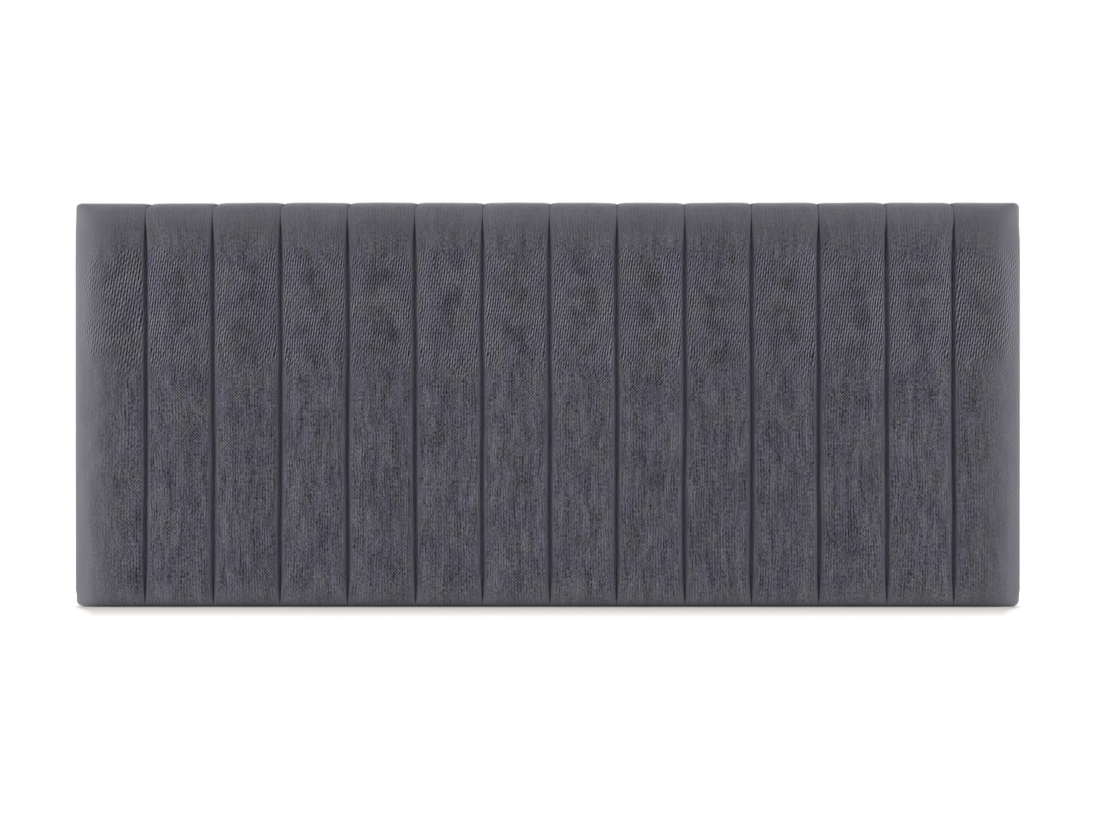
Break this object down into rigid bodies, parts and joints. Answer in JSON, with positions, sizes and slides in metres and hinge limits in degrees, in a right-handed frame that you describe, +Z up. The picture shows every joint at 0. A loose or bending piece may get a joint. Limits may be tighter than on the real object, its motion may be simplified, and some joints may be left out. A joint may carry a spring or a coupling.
{
  "type": "headboard",
  "caption": "Wide upholstered headboard with upright padded channels in one tucked cloth cover, a pine frame inside and keyhole hangers on the back.",
  "frame": {"origin": "middle of the bottom edge, half way through the depth", "axes": "+X along the width to the viewer's right, the padded face looks along -Y, +Z up"},
  "size_m": [1.4, 0.0799, 0.6],
  "materials": {
    "cover_cloth": "grey slub weave with a soft sheen",
    "wadding": "white fibre fleece",
    "foam": "pale open-cell foam",
    "tape": "woven cotton tape",
    "panel_board": "thin hardboard",
    "pine": "planed pine",
    "zinc_plate": "zinc-plated steel",
    "screw_steel": "yellow-passivated steel",
    "dust_cloth": "black non-woven cloth"
  },
  "bodies": {
    "root": {"cover": "cover_cloth", "wadding_01": "wadding", "wadding_02": "wadding", "wadding_03": "wadding", "wadding_04": "wadding", "wadding_05": "wadding", "wadding_06": "wadding", "wadding_07": "wadding", "wadding_08": "wadding", "wadding_09": "wadding", "wadding_10": "wadding", "wadding_11": "wadding", "wadding_12": "wadding", "wadding_13": "wadding", "wadding_14": "wadding", "foam_strip_01": "foam", "foam_strip_02": "foam", "foam_strip_03": "foam", "foam_strip_04": "foam", "foam_strip_05": "foam", "foam_strip_06": "foam", "foam_strip_07": "foam", "foam_strip_08": "foam", "foam_strip_09": "foam", "foam_strip_10": "foam", "foam_strip_11": "foam", "foam_strip_12": "foam", "foam_strip_13": "foam", "foam_strip_14": "foam", "pull_tape_01": "tape", "pull_tape_02": "tape", "pull_tape_03": "tape", "pull_tape_04": "tape", "pull_tape_05": "tape", "pull_tape_06": "tape", "pull_tape_07": "tape", "pull_tape_08": "tape", "pull_tape_09": "tape", "pull_tape_10": "tape", "pull_tape_11": "tape", "pull_tape_12": "tape", "pull_tape_13": "tape", "face_panel": "panel_board", "top_rail": "pine", "bottom_rail": "pine", "left_stile": "pine", "inner_stile_left": "pine", "inner_stile_right": "pine", "right_stile": "pine", "hanger_left": "zinc_plate", "hanger_right": "zinc_plate", "hanger_screws": "screw_steel", "back_cloth": "dust_cloth"}
  },
  "joints": []
}
